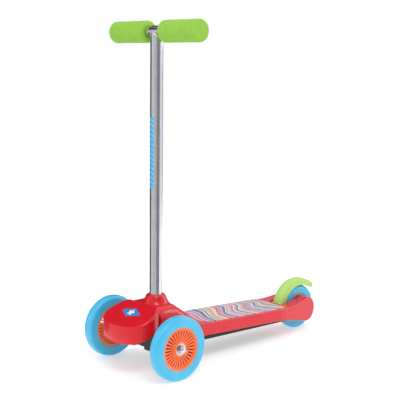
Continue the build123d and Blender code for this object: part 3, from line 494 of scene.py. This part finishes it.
def printed(letters, share):
    """The stripe colours that a row of letters stands for, one after another."""
    stops = [(i / len(letters), sRGB(*inks[letter])) for i, letter in enumerate(letters)]
    return vinyl.node("ShaderNodeValToRGB", {"blend": "CONSTANT", "stops": stops}, {0: share})


vinyl_ink = vinyl.mix(ink_share > 1, printed(front_inks, ink_share), printed(rear_inks, ink_share - 1))
vinyl_muted = vinyl.mix(0.16 + (ink_share * 0.12).cut(), vinyl_ink, sRGB(196, 180, 184))
vinyl.set("Base Color", vinyl.shade(vinyl_muted, 0.9 + vinyl.noise(12, 4) * 0.16))
vinyl.set("Roughness", 0.42 + vinyl.noise(4, 3) * 0.2)
vinyl.relief(vinyl.noise(0.9, 2), 0.1)
fitted(moulded("deck_mat", "deck_sheet"), vinyl, "deck", "printed_mat", "deck_mat")


# ---- Badge: a small blue enamel-like plate glued into a recess on the nose, with a plain star.
# It is printed polycarbonate with a domed clear coat.

badge_blue = Finish("badge_blue", IOR=1.5, Coat_Roughness=0.05)
badge_low, badge_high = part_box("nose_badge")
badge_slope = cos(radians(24))
star_radius = 6.4
star_points = 5
star_depth = 1.9
star_tilt = 0.6
star_edge = 0.5
badge_x, badge_y, _ = badge_blue.axes()
badge_v = (badge_y - (badge_low.y + badge_high.y) / 2 / MM) / badge_slope
star_turn = badge_v.math("ARCTAN2", badge_x)
star_reach = (badge_x * badge_x + badge_v * badge_v).math("SQRT")
star_wave = (star_turn * star_points + star_tilt).sine() * star_depth
star = 1 - (star_reach - star_wave).step(star_radius, star_radius + star_edge)
badge_tone = badge_blue.mix(badge_blue.noise(8, 3), sRGB(16, 128, 206), sRGB(30, 150, 224))
badge_blue.set("Base Color", badge_blue.mix(star, badge_tone, sRGB(240, 238, 244)))
badge_blue.set("Coat Weight", 0.8 - badge_blue.noise(3, 3) * 0.2)
badge_blue.set("Roughness", 0.2 + badge_blue.noise(5, 2) * 0.1)
fitted(moulded("nose_badge", "nose_plate"), badge_blue, "deck", "badge", "nose_badge")


# ---- Wheels: sky-blue polyurethane tyres cast round orange hubs, two in front and one behind.
# The hubs are moulded polypropylene, with thirty thin spokes in front and twenty-two behind.
# Each turns on two ball bearings, on a steel axle held by nuts.

sky = Finish("sky_polyurethane", IOR=1.49, Coat_Roughness=0.18, Subsurface_Scale=0.006)
sky.shader.inputs["Subsurface Weight"].default_value = 0.25
sky_dirt = sky.noise(7, 5, 0.7).step(0.56, 0.86)
sky_tone = sky.mix(sky.noise(30, 3), sRGB(54, 178, 220), sRGB(78, 196, 236))
sky.set("Base Color", sky.mix(sky_dirt * 0.12, sky_tone, sRGB(90, 130, 150)))
sky.set("Roughness", 0.24 + sky.noise(9, 4) * 0.16 + sky_dirt * 0.15)
sky.set("Coat Weight", 0.35 - sky_dirt * 0.2)
sky.relief(sky.noise(1.6, 2), 0.04)

orange = Finish("orange_polypropylene", IOR=1.5, Coat_Roughness=0.2)
orange_rub = edge_wear(orange, 0.6)
orange_tone = orange.mix(orange.noise(16, 3), sRGB(250, 104, 44), sRGB(255, 130, 64))
orange.set("Base Color", orange.mix(orange_rub * 0.5, orange_tone, sRGB(255, 180, 130)))
orange.set("Roughness", 0.26 + orange.noise(7, 3) * 0.16)
orange.set("Coat Weight", 0.3 + orange.noise(20, 1) * 0.1)
orange.relief(orange.noise(1.2, 2), 0.05)

steel = Finish("bearing_steel", IOR=2.2)
steel_smear = steel.noise(4, 4, 0.6)
steel.set("Base Color", steel.mix(steel_smear, (0.50, 0.51, 0.53), (0.72, 0.73, 0.75)))
steel.set("Metallic", 1.0 - steel.noise(2, 3).step(0.72, 0.8) * 0.2)
steel.set("Roughness", 0.16 + steel_smear * 0.2)
steel.relief(steel.noise(0.4, 2, 0.5, steel.place((0.2, 1, 1))), 0.01)

for side in ("left", "right", "rear"):
    body = f"{side}_wheel"
    fitted(moulded(f"{side}_tyre", f"{side}_tyre_cast"), sky, body, "sky_tyre", f"{side}_tyre")
    fitted(moulded(f"{side}_hub", f"{side}_hub_moulding"), orange, body, "orange_hub", f"{side}_hub")


# ---- Metal: screws, nuts, washers, races and springs, all left as they are made.
# Races and balls are polished bearing steel, the fixings are bright zinc over steel, and the
# springs are drawn spring steel.

zinc = Finish("bright_zinc", IOR=2.0)
zinc_spangle = zinc.node("ShaderNodeTexVoronoi", {}, {"Vector": zinc.place(), "Scale": 0.6})
zinc_tone = zinc.mix(zinc.noise(3, 4), (0.45, 0.47, 0.50), (0.70, 0.71, 0.72))
zinc.set("Base Color", zinc_tone)
zinc.set("Metallic", 1.0 - zinc.noise(1.5, 4).step(0.7, 0.85) * 0.3)
zinc.set("Roughness", 0.22 + zinc_spangle * 0.1)
zinc.relief(zinc.noise(0.6, 3), 0.02)

spring_steel = Finish("spring_steel", IOR=2.1)
spring_tone = spring_steel.mix(spring_steel.noise(2, 4), (0.30, 0.31, 0.33), (0.52, 0.53, 0.55))
spring_steel.set("Base Color", spring_tone)
spring_steel.set("Metallic", 1.0 - spring_steel.noise(1, 3).step(0.7, 0.9) * 0.4)
spring_steel.set("Roughness", 0.3 + spring_steel.noise(1.5, 3) * 0.15)

polyurethane = Finish("bushing_urethane", IOR=1.5)
polyurethane_tone = polyurethane.mix(polyurethane.noise(5, 4), sRGB(38, 36, 40), sRGB(64, 60, 64))
polyurethane.set("Base Color", polyurethane_tone)
polyurethane.set("Roughness", 0.5 + polyurethane.noise(2, 3) * 0.2)
polyurethane.relief(polyurethane.noise(0.8, 2), 0.05)

slot_finish = {
    "bearing_steel": steel,
    "zinc_steel": zinc,
    "spring_steel": spring_steel,
    "bushing_rubber": polyurethane,
}


# ---- Stem: a chromed steel tube with a crossbar welded across its top.
# The bar's joint is a fillet weld, plated over with the tube. A blue transfer of slanted
# dashes runs down the front. A snap button near the foot holds the stem in its socket.

chrome = Finish("chrome_plate", IOR=2.6)
chrome_cloud = chrome.noise(22, 3)
chrome.set("Base Color", chrome.mix(chrome_cloud, (0.62, 0.64, 0.68), (0.75, 0.77, 0.81)))
chrome.set("Metallic", 1.0 - chrome.noise(1.2, 4, 0.7).step(0.74, 0.82) * 0.25)
chrome.set("Roughness", 0.10 + chrome_cloud * 0.08 + chrome.noise(3, 4).step(0.6, 0.8) * 0.1)
chrome.relief(chrome.noise(0.9, 2, 0.5, chrome.place((1, 1, 0.05))), 0.012)
fitted(moulded("stem_tube", "stem"), chrome, "t_bar", "chrome_tube", "stem_tube")
fitted(moulded("crossbar", "handlebar"), chrome, "t_bar", "chrome_tube", "crossbar")


class Recipe:
    """A Geometry Nodes tree that makes one piece, with named inputs for its sizes."""

    def __init__(self, name, **sizes):
        self.sizes = sizes
        self.tree = bpy.data.node_groups.new(name, "GeometryNodeTree")
        self.tree.interface.new_socket("Geometry", in_out="OUTPUT", socket_type="NodeSocketGeometry")
        for label, value in sizes.items():
            kind = "NodeSocketInt" if isinstance(value, int) else "NodeSocketFloat"
            self.tree.interface.new_socket(label, in_out="INPUT", socket_type=kind)
        self.inputs = self.tree.nodes.new("NodeGroupInput")

    def size(self, label):
        return self.inputs.outputs[label]

    def node(self, kind, settings=None, values=None, output=0):
        """Adds a node: its settings first, then what goes into its sockets."""
        made = self.tree.nodes.new(kind)
        for key, value in (settings or {}).items():
            setattr(made, key, value)
        for socket, value in (values or {}).items():
            if isinstance(value, bpy.types.NodeSocket):
                self.tree.links.new(value, made.inputs[socket])
            else:
                made.inputs[socket].default_value = value
        return made.outputs[output]

    def sum(self, operation, a, b=0.0):
        return self.node("ShaderNodeMath", {"operation": operation}, {0: a, 1: b})

    def bake(self, name, finish, geometry):
        """Runs the tree and returns what it makes as a plain mesh piece."""
        real = self.node("GeometryNodeRealizeInstances", {}, {0: geometry})
        dressed = self.node("GeometryNodeSetMaterial", {}, {"Geometry": real, "Material": finish.material})
        output = self.tree.nodes.new("NodeGroupOutput")
        self.tree.links.new(dressed, output.inputs[0])
        blank = linked(name, bpy.data.meshes.new(name))
        step = blank.modifiers.new(name, "NODES")
        step.node_group = self.tree
        for item in self.tree.interface.items_tree:
            if item.in_out == "INPUT":
                step[item.identifier] = self.sizes[item.name]
        shown = blank.evaluated_get(bpy.context.evaluated_depsgraph_get())
        mesh = bpy.data.meshes.new_from_object(shown)
        mesh.name = name
        blank.modifiers.clear()
        blank.data = mesh
        return blank


stem_radius = (stem_high.x - stem_low.x) / 2
dash_ink = Finish("blue_transfer", IOR=1.48)
dash_ink.set("Base Color", dash_ink.mix(dash_ink.noise(5, 3), sRGB(24, 168, 226), sRGB(60, 196, 246)))
dash_ink.set("Roughness", 0.3 + dash_ink.noise(2, 3) * 0.15)
dash_ink.relief(dash_ink.noise(1.0, 2), 0.02)

dashes = Recipe(
    "slanted_dashes", Count=15, Pitch=8.9 * MM, Height=6.4 * MM, Width=10.5 * MM, Slant=0.35,
    Radius=stem_radius + 0.05 * MM, Foot=344 * MM, Thickness=0.09 * MM,
)
patch = dashes.node(
    "GeometryNodeMeshGrid",
    {},
    {"Size X": dashes.size("Width"), "Size Y": dashes.size("Height"), "Vertices X": 15, "Vertices Y": 3},
)
flat = dashes.node("GeometryNodeInputPosition")
flat_axes = dashes.tree.nodes.new("ShaderNodeSeparateXYZ")
dashes.tree.links.new(flat, flat_axes.inputs[0])
flat_x, flat_y = flat_axes.outputs[0], flat_axes.outputs[1]
turned = dashes.sum("DIVIDE", flat_x, dashes.size("Radius"))
round_x = dashes.sum("MULTIPLY", dashes.sum("SINE", turned), dashes.size("Radius"))
round_y = dashes.sum("MULTIPLY", dashes.sum("COSINE", turned), dashes.size("Radius"))
lifted = dashes.sum("ADD", flat_y, dashes.sum("MULTIPLY", flat_x, dashes.size("Slant")))
wrapped = dashes.node(
    "ShaderNodeCombineXYZ", {}, {0: round_x, 1: dashes.sum("MULTIPLY", round_y, -1.0), 2: lifted}
)
curved = dashes.node("GeometryNodeSetPosition", {}, {"Geometry": patch, "Position": wrapped})
thick = dashes.tree.nodes.new("GeometryNodeExtrudeMesh")
dashes.tree.links.new(curved, thick.inputs["Mesh"])
dashes.tree.links.new(dashes.size("Thickness"), thick.inputs["Offset Scale"])
thick.inputs["Individual"].default_value = False
back = dashes.node("GeometryNodeFlipFaces", {}, {0: curved})
shell = dashes.tree.nodes.new("GeometryNodeJoinGeometry")
dashes.tree.links.new(thick.outputs["Mesh"], shell.inputs[0])
dashes.tree.links.new(back, shell.inputs[0])
sealed = dashes.node("GeometryNodeMergeByDistance", {}, {"Geometry": shell.outputs[0], "Distance": 0.00001})
rise = dashes.node("ShaderNodeCombineXYZ", {}, {2: dashes.size("Pitch")})
foot = dashes.node("ShaderNodeCombineXYZ", {}, {1: stem_y, 2: dashes.size("Foot")})
ladder = dashes.node(
    "GeometryNodeMeshLine", {}, {"Count": dashes.size("Count"), "Start Location": foot, "Offset": rise}
)
row = dashes.node("GeometryNodeInstanceOnPoints", {}, {"Points": ladder, "Instance": sealed})
stem_dashes = dashes.bake("stem_dashes", dash_ink, row)
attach(stem_dashes, "t_bar")

# The snap button: a steel pin on a V of spring strip. On the real scooter the strip's back leg
# follows the pin when it is pressed, and its front leg stays on the tube's wall. Here the strip
# is fixed to the bar and does not move with the pin.
button_low, button_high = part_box("snap_button")
button_radius = (button_high.x - button_low.x) / 2
leg_above = 6 * MM
button_z = button_high.z - leg_above
strip_wire = 1.0 * MM
strip_front = button_low.y
strip_back = 2 * stem_y - button_low.y
strip_tip_drop = 8 * MM
bend_drop = 32.4 * MM
bend_half = 1.6 * MM
bend_rise = 1.4 * MM
strip_path = [
    (strip_back, button_z + leg_above - 0.2 * MM),
    (strip_back, button_z - leg_above),
    (stem_y + bend_half, button_z - bend_drop + bend_rise),
    (stem_y, button_z - bend_drop),
    (stem_y - bend_half, button_z - bend_drop + bend_rise),
    (strip_front, button_z - strip_tip_drop),
]
strip_rows = []
for y, z in strip_path:
    at_bend = abs(stem_y - y) < bend_half / 2
    inward = Vector((0, 0, 1)) if at_bend else Vector((0, stem_y - y, 0)).normalized()
    near = Vector((0, y, z))
    far = near + inward * strip_wire
    wide = Vector((button_radius, 0, 0))
    strip_rows.append([near - wide, near + wide, far + wide, far - wide])
strip = linked("snap_strip", grid_mesh("snap_strip", strip_rows, closed_columns=True))
pin_start = strip_back + 0.02 * MM
pin_end = button_high.y
pin_round = 1.2 * MM
pin_sides = 48
pin_bends = [pi / 2 * i / 6 for i in range(7)]
pin_profile = [(pin_start, 0.0), (pin_start, button_radius)]
pin_profile += [
    (pin_end - pin_round * (1 - sin(b)), button_radius - pin_round * (1 - cos(b))) for b in pin_bends
]
pin_profile.append((pin_end, 0.0))
pin_turns = [2 * pi * j / pin_sides for j in range(pin_sides)]
pin_rows = [
    [Vector((r * cos(turn), y, button_z + r * sin(turn))) for turn in pin_turns] for y, r in pin_profile
]
pin = linked("snap_pin", grid_mesh("snap_pin", pin_rows, closed_columns=True))
for piece in (strip, pin):
    skin = bmesh.new()
    skin.from_mesh(piece.data)
    bmesh.ops.holes_fill(skin, edges=skin.edges)
    bmesh.ops.remove_doubles(skin, verts=skin.verts, dist=1e-7)
    bmesh.ops.recalc_face_normals(skin, faces=skin.faces)
    skin.to_mesh(piece.data)
    skin.free()
fitted(pin, zinc, "snap_button", "zinc_steel", "snap_button")
fitted(strip, spring_steel, "t_bar", "spring_steel")
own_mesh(strip)

# The weld: a rippled bead round the foot of the bar, in the angle between it and the stem.
bar_low, bar_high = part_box("crossbar")
bar_z = (bar_low.z + bar_high.z) / 2
bar_radius = (bar_high.z - bar_low.z) / 2
bead_steps = 168
bead_sides = 10
bead_radius = 1.25
ripple_count = 42
ripple_height = 0.16
saddle_round = 0.02  # keeps the bead off the bar where it passes in front
bead_turns = [2 * pi * j / bead_sides for j in range(bead_sides)]
bead_rows = []
for i in range(bead_steps):
    turn = 2 * pi * i / bead_steps
    outward = Vector((cos(turn), sin(turn), 0))
    thickness = (bead_radius + ripple_height * abs(sin(ripple_count * turn / 2))) * MM
    drop = bar_radius * (cos(turn) ** 2 + saddle_round) ** 0.5
    centre = Vector((0, stem_y, bar_z - drop)) + outward * stem_radius
    bead_rows.append(
        [centre + (outward * cos(b) + Vector((0, 0, sin(b)))) * thickness for b in bead_turns]
    )
bead = linked("weld_bead", grid_mesh("weld_bead", bead_rows, closed_rows=True, closed_columns=True))
for face in bead.data.polygons:
    face.use_smooth = True
bead.data.materials.append(chrome.material)
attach(bead, "t_bar")


# ---- Grips: two green foam tubes pushed on the bar, each with two thin grooves.
# They are closed-cell foam, ground to shape, soft and matt, with tiny cut cells all over.

foam = Finish("green_foam", IOR=1.4, Specular_IOR_Level=0.25)
foam.set("Base Color", foam.mix(foam.noise(9, 4), sRGB(134, 190, 64), sRGB(156, 206, 86)))
foam.set("Roughness", 0.6 + foam.noise(2, 3) * 0.2)
foam.relief(foam.noise(0.7, 3, 0.7), 0.15)
groove_inset = 24.0 * MM
groove_depth = 1.3 * MM
groove_spread = 0.9 * MM
foam_sag = 0.22 * MM
inner_round = 4.5 * MM
outer_round = 5.0 * MM
closed_end = 7.9 * MM
bore_gap = 0.02 * MM
grip_sides = 128
grip_steps = 72


def foam_profile(length, skin, bore):
    """Distance from the inner end and radius, from the bore round the skin to the outer face."""
    bore_end = length - closed_end
    profile = [(bore_end, 0.0), (bore_end, bore / 2), (bore_end, bore)]
    profile += [(length * i / 6, bore) for i in (4, 2, 1, 0)]
    profile += [(0.0, bore + (skin - inner_round - bore) * i / 3) for i in (1, 2)]
    bends = [pi / 2 * i / 8 for i in range(9)]
    profile += [(inner_round * (1 - cos(b)), skin - inner_round * (1 - sin(b))) for b in bends]
    stop = length - outer_round
    for i in range(1, grip_steps):
        at = inner_round + (stop - inner_round) * i / grip_steps
        dips = sum(
            exp(-((at - groove) / groove_spread) ** 2) for groove in (groove_inset, length - groove_inset)
        )
        belly = sin(pi * (at / length * 3 % 1)) ** 2 * foam_sag
        profile.append((at, skin - foam_sag + belly - dips * groove_depth))
    profile += [(stop + outer_round * sin(b), skin - outer_round * (1 - cos(b))) for b in bends]
    profile += [(length, (skin - outer_round) * i / 4) for i in (3, 2, 1, 0)]
    return profile


for side, towards in (("left", 1), ("right", -1)):
    grip_low, grip_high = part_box(f"{side}_grip")
    grip_length = grip_high.x - grip_low.x
    grip_skin = (grip_high.z - grip_low.z) / 2
    grip_y, grip_z = (grip_low.y + grip_high.y) / 2, (grip_low.z + grip_high.z) / 2
    grip_start = grip_low.x if towards > 0 else grip_high.x
    grip_rows = []
    for at, radius in foam_profile(grip_length, grip_skin, bar_radius + bore_gap):
        middle_x = grip_start + towards * at
        turns = [2 * pi * j / grip_sides for j in range(grip_sides)]
        grip_rows.append(
            [Vector((middle_x, grip_y + radius * cos(t), grip_z + radius * sin(t))) for t in turns]
        )
    grip = linked(f"{side}_grip_foam", grid_mesh(f"{side}_grip_foam", grip_rows, closed_columns=True))
    skin = bmesh.new()
    skin.from_mesh(grip.data)
    bmesh.ops.remove_doubles(skin, verts=skin.verts, dist=1e-6)
    bmesh.ops.recalc_face_normals(skin, faces=skin.faces)
    for face in skin.faces:
        face.smooth = True
    skin.to_mesh(grip.data)
    skin.free()
    fitted(grip, foam, "t_bar", "green_foam", f"{side}_grip")


# ---- Brake: a green fender over the back wheel, pressed down with the heel.
# It is moulded polypropylene, turning on a steel pin, with a spring that lifts it.

lime = Finish("lime_polypropylene", IOR=1.48, Coat_Roughness=0.3)
lime_rub = edge_wear(lime)
lime_tone = lime.mix(lime.noise(20, 3), sRGB(164, 212, 98), sRGB(188, 228, 126))
lime.set("Base Color", lime.mix(lime_rub * 0.4, lime_tone, sRGB(214, 236, 170)))
lime.set("Roughness", 0.34 + lime.noise(5, 4) * 0.2)
lime.set("Coat Weight", 0.2 + lime.noise(15, 1) * 0.1)
lime.relief(lime.noise(0.8, 2), 0.05)
fitted(moulded("brake_fender", "brake_shoe"), lime, "brake", "green_brake", "brake_fender")


# ---- Fixings and bearings: the CAD pieces that keep their own shape.
# Screws, nuts, axles, races, balls, shields, springs, pins and bushings take the metal finishes
# or the urethane one, by the record's material slots. The dome nuts are chromed like the stem.

slot_finish["chrome_tube"] = chrome
slot_of = {piece["node"]: piece["material_slot"] for piece in frame["record"]["subparts"]}
for name, node in frame["nodes"].items():
    if not node.hide_render:
        node.data.materials.clear()
        node.data.materials.append(slot_finish[slot_of[name]].material)
